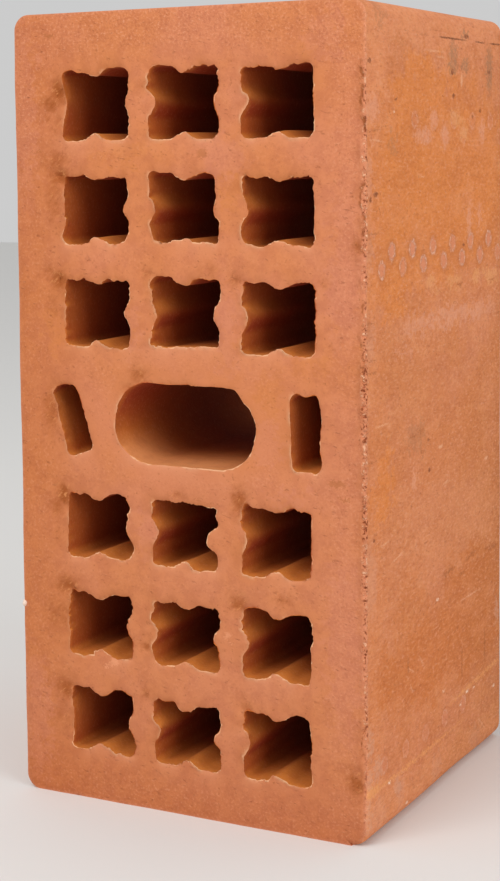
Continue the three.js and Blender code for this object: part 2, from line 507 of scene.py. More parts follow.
# %% [markdown]
# ## Cutting the openings
#
# Before the cut, the grid is halved round the rims, where the torn clay needs more points, and along the
# one edge that the wires left last, where the clay crumbled. The rods are joined into one cutter and
# taken out of the block with one Boolean modifier. The cut leaves some points halfway along straight
# edges, and these are dissolved.

# %% Finer grid round the rims
RIM_REACH = 2.4
CRUMBLED_REACHES = (2.8, 1.5)  # the grid is halved once within each
FACING = 0.99  # a face looks along an axis when its normal reaches this


def tree_of(places):
    """A search tree that finds the nearest of many places."""
    tree = KDTree(len(places))
    for number, place in enumerate(places):
        tree.insert(place, number)
    tree.balance()
    return tree


def face_facts(piece):
    """The middle of each face in millimetres, and its normal."""
    facts = []
    for fact in ("center", "normal"):
        flat = np.empty(len(piece.data.polygons) * 3)
        piece.data.polygons.foreach_get(fact, flat)
        facts.append(flat.reshape(-1, 3))
    return facts[0] / MM, facts[1]


def halve(piece, chosen):
    """Cut the chosen faces in half both ways."""
    change_chosen(piece, "FACE", chosen, bpy.ops.mesh.subdivide, number_cuts=1)


outlines = np.vstack([places_of(rod) for rod in cutters]) * (1, 0, 1)
nearest_outline = tree_of(outlines)
middles, normals = face_facts(brick)
gap = np.array([nearest_outline.find((x, 0, z))[2] for x, _, z in middles])
halve(brick, (np.abs(normals[:, 1]) > FACING) & (gap < RIM_REACH))

for reach in CRUMBLED_REACHES:
    middles, normals = face_facts(brick)
    from_crumbled_edge = np.hypot(middles[:, 0] - WIDTH / 2, middles[:, 1] + DEPTH / 2)
    halve(brick, from_crumbled_edge < reach)
print(f"the block has {len(brick.data.polygons)} faces with the finer grid")

# %% Cut


def combine(piece, operation, tool):
    """Cut a tool out of a piece, or add it. The tool is used up."""
    work_on(piece)
    change = piece.modifiers.new(operation, "BOOLEAN")
    change.operation = operation
    change.solver = "MANIFOLD"
    change.object = tool
    bpy.ops.object.modifier_apply(modifier=change.name)
    bpy.data.objects.remove(tool)


work_on(cutters[0])
for rod in cutters:
    rod.select_set(True)
bpy.ops.object.join()
all_cutters = bpy.context.object
work_on(all_cutters)
bpy.ops.object.mode_set(mode="EDIT")
bpy.ops.mesh.select_all(action="SELECT")
bpy.ops.mesh.normals_make_consistent(inside=False)
bpy.ops.object.mode_set(mode="OBJECT")

combine(brick, "DIFFERENCE", all_cutters)

edge_ends = np.array([edge.vertices for edge in brick.data.edges])
edges_at = np.bincount(edge_ends.ravel(), minlength=len(brick.data.vertices))
change_chosen(brick, "VERT", edges_at == 2, bpy.ops.mesh.dissolve_verts)
print(f"the cut brick has {len(brick.data.polygons)} faces")

# %% A piece of grit that stands out of the left edge
GRIT_PLACE = Vector((-WIDTH / 2 + 0.1, -DEPTH / 2 + 0.5, 61))
GRIT_SIZE = Vector((0.9, 0.9, 1.3))  # half its width, depth and height
GRIT_ROUGHNESS = 0.25
GRIT_FACETS = 3  # how often its first twenty faces are divided

bpy.ops.mesh.primitive_ico_sphere_add(
    subdivisions=GRIT_FACETS, radius=1, location=GRIT_PLACE * MM, scale=GRIT_SIZE * MM)
grit = bpy.context.object
bpy.ops.object.transform_apply(location=True, rotation=True, scale=True)
for point in grit.data.vertices:
    bump = noise.noise(point.co / MM) * GRIT_ROUGHNESS
    point.co += point.normal * bump * MM

combine(brick, "UNION", grit)
triangles = sum(len(face.vertices) - 2 for face in brick.data.polygons)
print(f"with the grit it has {triangles} triangles")

# %% [markdown]
# ## Three kinds of surface
#
# Every face is given to one of three surfaces by its place, while the block is still true: the wire cuts
# are its two flat faces, the die skin is the outside between them, and all the rest is perforation wall.
# The points where two kinds meet are the rims and the outer edges.

# %% Sort the faces
WIRE_CUT, DIE_SKIN, CORE_WALL = 0, 1, 2

middles, normals = face_facts(brick)
outside_x = np.abs(middles[:, 0]) > WIDTH / 2 - EDGE_RADIUS
outside_z = np.abs(middles[:, 2] - LENGTH / 2) > LENGTH / 2 - EDGE_RADIUS
surface = np.full(len(middles), CORE_WALL)
surface[outside_x | outside_z] = DIE_SKIN
surface[(np.abs(normals[:, 1]) > FACING) & (np.abs(middles[:, 1]) > DEPTH / 2 - TOUCH)] = WIRE_CUT

corners = np.empty(len(brick.data.loops), int)
brick.data.loops.foreach_get("vertex_index", corners)
face_sizes = np.empty(len(brick.data.polygons), int)
brick.data.polygons.foreach_get("loop_total", face_sizes)
face_of_corner = np.repeat(np.arange(len(face_sizes)), face_sizes)


def touches(kind):
    """Which points belong to a face of this kind."""
    found = np.zeros(len(brick.data.vertices), bool)
    found[corners[surface[face_of_corner] == kind]] = True
    return found


on_cut, on_skin, on_wall = touches(WIRE_CUT), touches(DIE_SKIN), touches(CORE_WALL)
rim = on_cut & on_wall
outer_edge = on_cut & on_skin
print(f"{rim.sum()} points on rims and {outer_edge.sum()} on outer edges")

# %% [markdown]
# ## What the wires did
#
# A wire doesn't leave a flat face. It rides up and down a little, rounds the rims that it enters, drags a
# thin lip of clay over the rims that it leaves, and smears the clay where the web between two openings is
# thin. All of that is made by moving the points of the two faces in and out, by noise and by their
# distance from a rim.

# %% Distance and direction to the nearest rim
RIM_WIDTH = 1.3  # how far from a rim its rounding reaches

points = places_of(brick)
rim_numbers = np.flatnonzero(rim)
nearest_rim = tree_of(points[rim_numbers])

_, normals = face_facts(brick)
wall_corner = surface[face_of_corner] == CORE_WALL
into_opening = np.zeros((len(points), 3))
np.add.at(into_opening, corners[wall_corner], normals[face_of_corner[wall_corner]])
into_opening[:, 1] = 0
into_opening /= np.maximum(np.linalg.norm(into_opening, axis=1), 1e-9)[:, None]

cut_numbers = np.flatnonzero(on_cut)
found = [nearest_rim.find(points[number]) for number in cut_numbers]
rim_gap = np.array([distance for _, _, distance in found])
rim_side = into_opening[rim_numbers[[number for _, number, _ in found]]]
rim_share = np.clip(1 - rim_gap / RIM_WIDTH, 0, 1)
print(f"{len(cut_numbers)} points on the wire-cut faces")

# %% Rims and uneven faces


def rough(places, wavelength, seed):
    """Smooth noise between about -0.5 and 0.5 at each place."""
    return np.array([noise.noise(Vector(place) / wavelength + Vector((0, 0, seed))) for place in places])


def patches(places, wavelength, seed, share, contrast, top=1.0):
    """A share that is high in some patches and low in others, from 0 to top."""
    return np.clip(share + contrast * rough(places, wavelength, seed), 0, top)


WAVINESS = ((30, 0.55), (9, 0.14), (2.4, 0.10))  # wavelength and depth
RIM_ROUNDING = 0.34
CRUMBLING = 0.25  # height of the finest crumbs on a rim
LIP_HEIGHT = 0.75
LEFT_WALL_BESIDE = 4  # how far past the left wall its rims count
LEFT_COLUMN_LIPS = 0.35  # the share of their lips that these rims kept
WIRE_PULL = np.array([1.0, 0, 0.45])  # the way the wires went

here = points[cut_numbers]
outward = np.sign(here[:, 1])
lift = sum(deep * rough(here, wavelength, seed=3) for wavelength, deep in WAVINESS)
left_by_wire = np.clip(rim_side @ (WIRE_PULL / np.linalg.norm(WIRE_PULL)), 0, 1)
lip = LIP_HEIGHT * left_by_wire * rim_share**2
lip *= patches(here, wavelength=5, seed=8, share=0.4, contrast=2, top=1.2)
by_left_wall = here[:, 0] < LEFT_WALL + LEFT_WALL_BESIDE - WIDTH / 2
lip[by_left_wall] *= LEFT_COLUMN_LIPS
lift += lip - RIM_ROUNDING * rim_share**2 * (1 - left_by_wire)
lift += rough(here, wavelength=0.9, seed=5) * CRUMBLING * rim_share
print(f"the highest lip stands {lip.max():.1f} mm out")

# %% [markdown]
# Some hollows are deep enough to see: by the left column the wire pulled the clay down beside the
# openings, and the lower right corner was dented while the clay was soft.

# %% Hollows
LEFT, TOP = -WIDTH / 2, LENGTH
HOLLOWS = [  # across from the left side, down from the top, half width, half height and depth
    (16, 24.5, 3.2, 4.6, 1.2), (13, 28, 3.4, 3, 0.8), (11.5, 33, 3, 2, 0.5), (15, 34, 3, 3.5, 0.5),
    (15, 46, 5.5, 4.6, 0.6), (16, 51, 3.6, 2.6, 1.2), (14, 59, 3.8, 8, 0.55), (12, 81, 4, 2, 0.5),
    (15.5, 83.5, 3.8, 3.2, 1.0), (13.5, 92, 3.8, 6.5, 0.3), (11.5, 126, 2.8, 7.5, 0.7),
    (15.6, 152.5, 3, 4, 1.0), (13, 156, 3.4, 3.6, 0.65), (14, 165, 3, 4, 0.3), (16.5, 181, 4.6, 3.2, 0.9),
    (13, 191, 5, 6, 0.55), (15.5, 215, 3.4, 4.4, 0.85), (14, 224, 3.4, 5.5, 0.4),
    (78.5, 149, 2.8, 4.6, 0.9), (77.5, 181, 3.6, 3.8, 0.75), (45, 198, 2.6, 1.5, 0.7),
    (80, 213, 2.4, 3, 0.5), (45, 213, 2, 3, 0.5), (69, 79, 4.6, 2, 0.35), (78, 82, 3.2, 3, 0.5),
    (44, 112.5, 3.2, 2.6, 0.7), (47, 80, 2.2, 2.4, 0.5), (57, 149, 4, 1.6, 0.5), (93, 178, 3.4, 1.8, 0.5),
    (116.5, 231, 3.6, 4.8, 0.85), (117.2, 72, 2.8, 4.4, 0.6), (106.5, 82, 1.6, 3, 0.4),
    (40, 116.5, 3, 2.6, 0.35),
]
HOLLOW_FLATNESS = 0.8  # the rest of a hollow's depth is uneven

scuff = np.zeros(len(here))
front = here[:, 1] < 0
for across, down, half_width, half_height, deep in HOLLOWS:
    off = np.hypot((here[:, 0] - LEFT - across) / half_width, (here[:, 2] - TOP + down) / half_height)
    share = np.exp(-(off**2)) * front
    lift -= deep * share * (HOLLOW_FLATNESS + rough(here, wavelength=3, seed=11))
    scuff = np.maximum(scuff, share * min(deep, 1))
lift -= lip * scuff
lip *= 1 - scuff

points[cut_numbers, 1] += outward * lift
print(f"{len(HOLLOWS)} hollows")

# %% [markdown]
# The wires left the block by its right side, where the last of the clay was pushed up into a burr and
# broke away as crumbs, with a groove beside them. The other outer edges are only rounded a little. How
# much an outer edge is worn is a share that falls from 1 on the edge to 0 a few millimetres away. How
# crumbled, how grooved and how round the right edge is changes from the top down, so each is given at a
# few heights.

# %% Amounts down the right edge
EDGE_ROUNDING = 0.35
CRUMBLED = {
    0: 0.1, 15: 0.1, 22: 0.35, 38: 0.4, 44: 0.8, 50: 0.4, 60: 0.9, 64: 0.4, 72: 0.9, 75: 0.2, 82: 0.9,
    85: 0.2, 94: 0.4, 97: 1.0, 101: 0.5, 105: 1.0, 126: 1.0, 132: 0.5, 137: 0.9, 165: 0.9, 171: 1.0,
    176: 0.5, 186: 0.5, 190: 1.0, 194: 0.5, 212: 0.5, 222: 0.2, 250: 0.2,
}
GROOVED = {
    0: 0.0, 17: 0.2, 20: 1.0, 38: 1.0, 41: 0.2, 50: 0.2, 52: 0.9, 59: 0.9, 61: 0.3, 63: 0.8, 70: 0.8,
    72: 0.1, 86: 0.1, 88: 0.7, 94: 0.5, 98: 0.2, 100: 0.6, 108: 0.6, 126: 0.2, 140: 0.5, 156: 0.5,
    160: 0.1, 210: 0.1, 214: 0.5, 221: 0.5, 226: 0.1, 250: 0.0,
}
WORN_ROUND = {0: EDGE_ROUNDING, 216: EDGE_ROUNDING, 232: 1.1, 250: 1.5}


def from_heights(amounts, from_top):
    """An amount at each distance from the top, between the ones that are given."""
    return np.interp(from_top, list(amounts), list(amounts.values()))


print(f"crumbled is given at {len(CRUMBLED)} heights and grooved at {len(GROOVED)}")

# %% Outer edges
EDGE_REACH = 2.4
CRUMBS = ((0.9, 0.9), (2.3, 0.9), (7, 0.5))  # wavelength and size of what broke away
CRUMB_LOSS, CRUMB_SEED = 0.1, 21
OUT_SIDEWAYS, OUT_FORWARD = -0.3, -0.35  # crumbled clay stands out no further than this
ROUND_LOST = 0.6  # the share of its rounding that a crumbled edge has lost
GROOVE_IN, GROOVE_REACH, GROOVE_DEPTH = 1.0, 0.5, 0.55
GROOVE_WANDER, GROOVE_JITTER = 1.6, 0.7
SHADE_IN, SHADE_REACH = 0.8, 1.3  # painted shade lies behind the burr and beside a groove
CRUMBLED_SHADE = 0.75  # how strong the painted shade is beside a crumbled edge without a groove
BURR_IN, BURR_REACH, BURR_HEIGHT = 1.3, 0.6, 0.6


def ridge(gap, reach):
    """A share that is 1 where the gap is 0 and falls off smoothly on both sides."""
    return np.exp(-((gap / reach) ** 2))


edge_numbers = np.flatnonzero(outer_edge)
nearest_edge = tree_of(points[edge_numbers])
by_edge = np.flatnonzero((on_cut | on_skin) & (np.abs(points[:, 1]) > DEPTH / 2 - 2 * EDGE_REACH))
edge_gap = np.array([nearest_edge.find(points[number])[2] for number in by_edge])
edge_share = np.clip(1 - edge_gap / EDGE_REACH, 0, 1)

beside = points[by_edge]
up_the_edge = beside * (0, 0, 1)
cut_side = on_cut[by_edge]
right_edge = (beside[:, 0] > WIDTH / 2 - 2 * EDGE_REACH) & (beside[:, 1] < 0)
from_top = LENGTH - beside[:, 2]
crumbled = from_heights(CRUMBLED, from_top) * right_edge
grooved = from_heights(GROOVED, from_top) * right_edge
rounding = np.where(right_edge, from_heights(WORN_ROUND, from_top), EDGE_ROUNDING)

broken = CRUMB_LOSS + sum(
    size * rough(beside, wavelength, CRUMB_SEED + i) for i, (wavelength, size) in enumerate(CRUMBS))
sunk_sideways = crumbled * np.clip(broken, OUT_SIDEWAYS, 1) + rounding - EDGE_ROUNDING
sunk_inward = crumbled * np.clip(broken, OUT_FORWARD, 1) + rounding * (1 - ROUND_LOST * crumbled)

wander = GROOVE_WANDER * rough(up_the_edge, wavelength=7, seed=29)
wander = wander + GROOVE_JITTER * rough(beside, wavelength=1.8, seed=37)
from_groove = WIDTH / 2 - beside[:, 0] - GROOVE_IN - wander
groove = grooved * ridge(from_groove, GROOVE_REACH) * cut_side
groove *= patches(beside, wavelength=2.0, seed=27, share=1.0, contrast=1.8)
# Painted shade behind the burr and beside the groove.
painted_shade = np.maximum(grooved, CRUMBLED_SHADE * crumbled) * ridge(from_groove - SHADE_IN, SHADE_REACH)
painted_shade *= cut_side * patches(up_the_edge, wavelength=4, seed=41, share=0.75, contrast=1.5)
burr = crumbled * ridge(edge_gap - BURR_IN, BURR_REACH) * cut_side
burr *= patches(beside, wavelength=2.2, seed=35, share=0.6, contrast=1.6, top=1.2)

points[by_edge, 0] -= sunk_sideways * edge_share**1.5
inward = sunk_inward * edge_share**2 + GROOVE_DEPTH * groove - BURR_HEIGHT * burr
points[by_edge, 1] -= np.sign(beside[:, 1]) * inward
print(f"{np.count_nonzero(edge_share)} points moved by the outer edges")

# %% Uneven skin and perforation walls
SKIN_WAVE, SKIN_WAVE_HEIGHT = 35, 0.5
WALL_WAVE, WALL_WAVE_HEIGHT = 12, 0.35

side_numbers = np.flatnonzero(on_skin & ~on_cut)
sides = points[side_numbers]
points[side_numbers, 0] += np.sign(sides[:, 0]) * rough(sides, SKIN_WAVE, seed=31) * SKIN_WAVE_HEIGHT
wall_numbers = np.flatnonzero(on_wall & ~on_cut)
waves = rough(points[wall_numbers], WALL_WAVE, seed=33) * WALL_WAVE_HEIGHT
points[wall_numbers] += into_opening[wall_numbers] * waves[:, None]
move_to(brick, points)
print(f"{len(side_numbers)} points on the skin and {len(wall_numbers)} on the perforation walls")

# %% Masks that the materials read
RIM_HAZE = 2.4  # how far from a rim the painted shade above it and the painted light below it reach
OPEN_FACE_REACH = (2, 9)  # between these distances from a rim, smeared clay turns sandy
STRIP_REACH = 2.2  # how far from the right edge crumbs lie
HIGHLIGHT_SIDE, HIGHLIGHT_SIDE_GAIN = (-0.5, 0, 0.87), 0.5  # the painted highlight is strongest on rims that look up and left
RIM_HIGHLIGHT_LEVEL, RIM_CONTRAST = 0.4, 1.1
SHADE_ABOVE_SIDE, LIGHT_BELOW_SIDE = (0.75, 0, -0.65), (0.1, 0, 1)
LEAST_SANDY, FEWEST_CRUMBS = 0.15, 0.25
GRIT_HALO, GRIT_FADING = 1.6, 4  # the grit's colour ends at this many times its size, this abruptly
SMOOTH_ANGLE = 32  # degrees


def keep_mask(name, numbers, values):
    """Write a number from 0 to 1 on each point, for the materials."""
    mask = np.zeros(len(brick.data.vertices), np.float32)
    mask[numbers] = np.clip(values, 0, 1)
    brick.data.attributes.new(name, "FLOAT", "POINT").data.foreach_set("value", mask)


def faces_towards(direction):
    """How much the nearest rim of each point looks in a direction."""
    return np.clip(rim_side @ direction, 0, 1)


rim_places = points[rim_numbers]
on_highlight_side = np.clip(into_opening[rim_numbers] @ HIGHLIGHT_SIDE, -0.5, 1)
scuffed = np.zeros(len(points))
scuffed[cut_numbers] = scuff
# The painted highlight along the rims.
rim_highlight = RIM_HIGHLIGHT_LEVEL + HIGHLIGHT_SIDE_GAIN * on_highlight_side - scuffed[rim_numbers]
rim_highlight += RIM_CONTRAST * rough(rim_places, wavelength=4, seed=51)
fading = np.exp(-rim_gap / RIM_HAZE) * (1 - scuff) * front
fading *= patches(here, wavelength=8, seed=61, share=0.6, contrast=1.8)
near, far = OPEN_FACE_REACH
keep_mask("rim_highlight", rim_numbers, rim_highlight)
keep_mask("lip", cut_numbers, lip / LIP_HEIGHT)
keep_mask("scuff", cut_numbers, scuff)
# Painted shade above and left of the openings, and painted light below them.
keep_mask("painted_shade", cut_numbers, fading * faces_towards(SHADE_ABOVE_SIDE))
keep_mask("painted_light_below", cut_numbers, fading * faces_towards(LIGHT_BELOW_SIDE))
keep_mask("sandy", cut_numbers, LEAST_SANDY + (1 - LEAST_SANDY) * (rim_gap - near) / (far - near))

strip_gap = np.maximum(WIDTH / 2 - beside[:, 0], DEPTH / 2 + beside[:, 1])
crumbs = FEWEST_CRUMBS + (1 - FEWEST_CRUMBS) * crumbled
keep_mask("edge", by_edge, edge_share)
keep_mask("groove", by_edge, groove)
keep_mask("shade_beside_groove", by_edge, painted_shade)
keep_mask("crumbs", by_edge, crumbs * (1 - strip_gap / STRIP_REACH) * right_edge)

grit_gap = np.linalg.norm((points - GRIT_PLACE) / GRIT_SIZE, axis=1)
keep_mask("grit", np.arange(len(points)), (GRIT_HALO - grit_gap) * GRIT_FADING)

work_on(brick)
bpy.ops.object.shade_smooth_by_angle(angle=math.radians(SMOOTH_ANGLE))
print(f"{sum(layer.data_type == 'FLOAT' for layer in brick.data.attributes)} masks")

# %% [markdown]
# ## Fired clay
#
# All three surfaces are the same clay, so they share one shader node group. It takes the broad colour of
# a place and lays the texture of clay over it: mottling, grains of sand, and small dark flecks that the
# wire dragged along. How mottled, sandy and flecked the clay is are inputs of the group, so each material
# can set its own.

# %% Helpers for shader nodes


def clay(red, green, blue):
    """A colour given from 0 to 255 as on a screen, made linear for the shader."""
    return tuple((part / 255) ** 2.2 for part in (red, green, blue)) + (1,)


def give(tree, socket, value):
    """Feed an input from another socket, or set it to a plain value."""
    if isinstance(value, bpy.types.NodeSocket):
        tree.links.new(value, socket)
    else:
        socket.default_value = value


def add(tree, kind, **settings):
    """Add a node. A setting sets a property of the node, or else the input socket of that name."""
    node = tree.nodes.new("ShaderNode" + kind)
    for name, value in settings.items():
        if hasattr(node, name):
            setattr(node, name, value)
        else:
            give(tree, node.inputs[name.replace("_", " ")], value)
    return node


def maths(tree, operation, *values):
    """One step of arithmetic. Values are numbers or sockets."""
    node = add(tree, "Math", operation=operation)
    for socket, value in zip(node.inputs, values):
        give(tree, socket, value)
    return node.outputs[0]


def times(tree, value, share):
    return maths(tree, "MULTIPLY", value, share)


def vector_maths(tree, operation, *values, output=0):
    node = add(tree, "VectorMath", operation=operation)
    for socket, value in zip(node.inputs, values):
        give(tree, socket, value)
    return node.outputs[output]


def blend(tree, share, under, over, how="MIX"):
    """Lay one colour over another by a share from 0 to 1. Multiplying darkens the colour under it."""
    node = add(tree, "Mix", data_type="RGBA", blend_type=how)
    sockets = {socket.identifier: socket for socket in [*node.inputs, *node.outputs]}
    give(tree, sockets["Factor_Float"], share)
    give(tree, sockets["A_Color"], under)
    give(tree, sockets["B_Color"], over)
    return sockets["Result_Color"]


def between(tree, value, low, high, top=1.0):
    """A share that rises smoothly from 0 at low to its top value at high."""
    node = add(tree, "MapRange", interpolation_type="SMOOTHSTEP",
               Value=value, From_Min=low, From_Max=high, To_Max=top)
    return node.outputs["Result"]


def cloud(tree, places, per_unit, detail=3.0, roughness=0.55):
    """Noise with this many clouds to the unit of its places."""
    node = add(tree, "TexNoise", Vector=places, Scale=per_unit, Detail=detail, Roughness=roughness)
    return node.outputs["Fac"]


def streaked(tree, places, slope):
    """Places drawn out along a slope on the face, in radians, so that noise in them makes streaks."""
    turned = add(tree, "VectorRotate", rotation_type="Y_AXIS", Vector=places, Angle=slope)
    return vector_maths(tree, "MULTIPLY", turned.outputs[0], (0.4, 1, 1))


def two_tone(tree, colour, clouds, strength, pale, dark):
    """Paint the high places of a noise pale and its low places dark."""
    colour = blend(tree, between(tree, clouds, 0.5, 0.66, strength), colour, pale)
    return blend(tree, between(tree, clouds, 0.5, 0.34, strength), colour, dark)


def start_group(name, inputs, outputs):
    """An empty node group with named sockets, and its input and output nodes."""
    group = bpy.data.node_groups.new(name, "ShaderNodeTree")
    for direction, sockets in (("INPUT", inputs), ("OUTPUT", outputs)):
        for socket_name, kind in sockets.items():
            group.interface.new_socket(socket_name, in_out=direction, socket_type="NodeSocket" + kind)
    return group, group.nodes.new("NodeGroupInput").outputs, group.nodes.new("NodeGroupOutput").inputs


def place_group(tree, group, **inputs):
    """Put a node group in a material, or in another group, with its inputs."""
    node = tree.nodes.new("ShaderNodeGroup")
    node.node_tree = group
    for name, value in inputs.items():
        give(tree, node.inputs[name.replace("_", " ")], value)
    return node.outputs


# %% Node group: texture of the clay
PALE_GRAIN = clay(232, 158, 122)
MOTTLE, DARK_GRAIN, FLECK = clay(241, 235, 238), clay(226, 215, 223), clay(207, 194, 181)  # multiplied
MOTTLES, GRAINS, FLECKS = 230, 1150, 1000  # to the metre
WIRE_SLOPE = math.atan2(WIRE_PULL[2], WIRE_PULL[0])

clay_group, given, result = start_group(
    "fired_clay_texture",
    {"Places": "Vector", "Color": "Color", "Mottled": "Float", "Sandy": "Float", "Flecked": "Float"},
    {"Color": "Color", "Grain": "Float"})
tree, places, sandy = clay_group, given["Places"], given["Sandy"]

mottle = between(tree, cloud(tree, places, MOTTLES, detail=5, roughness=0.65), 0.42, 0.62, 0.85)
mottle = times(tree, mottle, given["Mottled"])
colour = blend(tree, mottle, given["Color"], MOTTLE, "MULTIPLY")

grains = cloud(tree, places, GRAINS, detail=2, roughness=0.6)
pale = times(tree, between(tree, grains, 0.5, 0.76, 0.6), sandy)
dark = times(tree, between(tree, grains, 0.5, 0.26, 0.6), sandy)
colour = blend(tree, pale, colour, PALE_GRAIN)
colour = blend(tree, dark, colour, DARK_GRAIN, "MULTIPLY")

streaks = streaked(tree, places, -0.5 * WIRE_SLOPE)
flecks = cloud(tree, streaks, FLECKS, detail=3, roughness=0.6)
flecks = times(tree, between(tree, flecks, 0.61, 0.75), given["Flecked"])
colour = blend(tree, flecks, colour, FLECK, "MULTIPLY")
give(tree, result["Color"], colour)
give(tree, result["Grain"], maths(tree, "SUBTRACT", times(tree, grains, sandy), flecks))
print(f"the clay group has {len(tree.nodes)} nodes")

# %% [markdown]
# Stains, scratches and cracks sit at known places, so they can't come from noise alone. Each is a stroke:
# an ellipse at a place on its face, turned, and frayed by noise. One small node group frays the places of
# a face and another makes a stroke, and a list of strokes that fray alike is painted with one colour. The
# places of a face are given in millimetres, across from its near edge and down from the top.

# %% Node groups: frayed places and a stroke
FRAY_REACH = 4  # the span of the noise, in frays
FRAY_SIZE = 1.5  # clouds to one fray

fray_group, given, result = start_group(
    "frayed_places", {"Places": "Vector", "Fray": "Float"}, {"Places": "Vector"})
tree = fray_group
fineness = maths(tree, "DIVIDE", FRAY_SIZE, given["Fray"])
wobble = add(tree, "TexNoise", Vector=given["Places"], Scale=fineness, Detail=3.0, Roughness=0.7)
wobble = vector_maths(tree, "SUBTRACT", wobble.outputs["Color"], (0.5, 0.5, 0.5))
wobble = vector_maths(tree, "MULTIPLY", wobble, (FRAY_REACH, FRAY_REACH, 0))
scaled = add(tree, "VectorMath", operation="SCALE", Scale=given["Fray"])
give(tree, scaled.inputs[0], wobble)
give(tree, result["Places"], vector_maths(tree, "ADD", given["Places"], scaled.outputs[0]))

stroke_group, given, result = start_group(
    "stroke",
    {"Places": "Vector", "Middle": "Vector", "Reach": "Vector", "Turn": "Float"},
    {"Share": "Float"})
tree = stroke_group
turned = add(tree, "VectorRotate", rotation_type="Z_AXIS",
             Vector=given["Places"], Center=given["Middle"], Angle=given["Turn"])
off = vector_maths(tree, "SUBTRACT", turned.outputs[0], given["Middle"])
off = vector_maths(tree, "DIVIDE", off, given["Reach"])
off = vector_maths(tree, "LENGTH", off, output="Value")
give(tree, result["Share"], between(tree, off, 1.25, 0.6))
print(f"{len(fray_group.nodes)} nodes fray and {len(stroke_group.nodes)} make a stroke")

# %% Paint strokes on a face


def face_places(tree, places, axis):
    """Places on a flat face in millimetres: across from its near edge, and down from the top."""
    near_edge = {"X": WIDTH / 2, "Y": DEPTH / 2}[axis]
    parts = add(tree, "SeparateXYZ", Vector=places).outputs
    across = maths(tree, "MULTIPLY_ADD", parts[axis], 1 / MM, near_edge)
    down = maths(tree, "MULTIPLY_ADD", parts["Z"], -1 / MM, LENGTH)
    return add(tree, "CombineXYZ", X=across, Y=down, Z=0.0).outputs[0]


def fray_places(tree, flat, fray):
    return place_group(tree, fray_group, Places=flat, Fray=fray)["Places"]


def strokes_share(tree, frayed, strokes):
    """Where any of these strokes lies."""
    total = None
    for across, down, half_length, half_height, *turn in strokes:
        stroke = place_group(
            tree, stroke_group, Places=frayed, Middle=(across, down, 0),
            Reach=(half_length, half_height, 1), Turn=math.radians(turn[0] if turn else 0))
        share = stroke["Share"]
        total = share if total is None else maths(tree, "MAXIMUM", total, share)
    return total


def paint(tree, colour, flat, area, marks):
    """Paint lists of strokes over a colour, inside an area."""
    frayed = {fray: fray_places(tree, flat, fray) for fray in sorted({fray for _, _, fray, _ in marks})}
    for mark_colour, strength, fray, strokes in marks:
        share = times(tree, strokes_share(tree, frayed[fray], strokes), strength)
        colour = blend(tree, times(tree, share, area), colour, mark_colour)
    return colour


# %% Start and finish of a material
ORANGE, PINK = clay(212, 129, 82), clay(213, 131, 92)
KILN_CLOUDS = 40  # to the metre


def mask(tree, name):
    return add(tree, "Attribute", attribute_name=name).outputs["Fac"]


def rim_highlight_share(tree):
    """Where the rim of an opening gets a painted highlight."""
    return between(tree, mask(tree, "rim_highlight"), 0.35, 0.75, 0.9)


def start_material(name):
    """A material with the orange and pink clouds that the kiln left, its tree, places and colour."""
    material = bpy.data.materials.new(name)
    material.use_nodes = True
    tree = material.node_tree
    places = tree.nodes.new("ShaderNodeTexCoord").outputs["Object"]
    pink = between(tree, cloud(tree, places, KILN_CLOUDS), 0.36, 0.64)
    return material, tree, places, blend(tree, pink, ORANGE, PINK)


def finish_material(tree, colour, height, relief, roughness):
    """Feed the shader: matt clay with this much relief, in metres."""
    shader = tree.nodes["Principled BSDF"]
    shader.inputs["Roughness"].default_value = roughness
    shader.inputs["Specular IOR Level"].default_value = 0.3
    tree.links.new(colour, shader.inputs["Base Color"])
    bump = add(tree, "Bump", Height=height, Distance=relief, Strength=1.0)
    tree.links.new(bump.outputs["Normal"], shader.inputs["Normal"])


# %% Node group: broken edge
WORN, STRIP, BURR_SHADE = clay(228, 152, 120), clay(214, 138, 102), clay(172, 98, 56)
GROOVE_SHADE, PIECE, GAP_SHADE = clay(152, 84, 42), clay(250, 190, 152), clay(128, 60, 26)
BITS = 800  # to the metre

edge_group, given, result = start_group(
    "broken_edge",
    {"Places": "Vector", "Color": "Color", "Height": "Float"},
    {"Color": "Color", "Height": "Float"})
tree = edge_group
edge, crumbs, groove, shade_beside_groove = [
    mask(tree, name) for name in ("edge", "crumbs", "groove", "shade_beside_groove")]

worn = times(tree, maths(tree, "POWER", edge, 4.0), 0.35)
colour = blend(tree, worn, given["Color"], WORN)
colour = blend(tree, between(tree, crumbs, 0.0, 0.6, 0.35), colour, STRIP)
# Painted shade behind the burr and beside the groove.
colour = blend(tree, times(tree, shade_beside_groove, 0.5), colour, BURR_SHADE)
bits = cloud(tree, given["Places"], BITS, detail=3, roughness=0.6)
# Painted shade in the groove, broken up by noise.
groove_shade = maths(tree, "MULTIPLY_ADD", bits, 2.4, maths(tree, "SUBTRACT", groove, 1.2))
colour = blend(tree, between(tree, groove_shade, 0.2, 0.8, 0.75), colour, GROOVE_SHADE)
near_edge = between(tree, crumbs, 0.15, 0.6)
pieces = times(tree, between(tree, bits, 0.56, 0.66, 0.9), near_edge)
colour = blend(tree, pieces, colour, PIECE)
# Painted shade in the gaps under and between the crumbs.
shaded_gaps = times(tree, between(tree, bits, 0.46, 0.37, 0.9), near_edge)
colour = blend(tree, shaded_gaps, colour, GAP_SHADE)
give(tree, result["Color"], colour)
give(tree, result["Height"], maths(tree, "MULTIPLY_ADD", pieces, 0.5, given["Height"]))
print(f"the broken edge group has {len(tree.nodes)} nodes")

# %% [markdown]
# The strokes of a face come in lists. Each list has a colour, a strength, a fray in millimetres, and its
# strokes. A stroke is written as its place across and down, half its length, half its height and, if it
# is turned, the turn in degrees. The zones lie under the texture of the clay, and the marks over it.

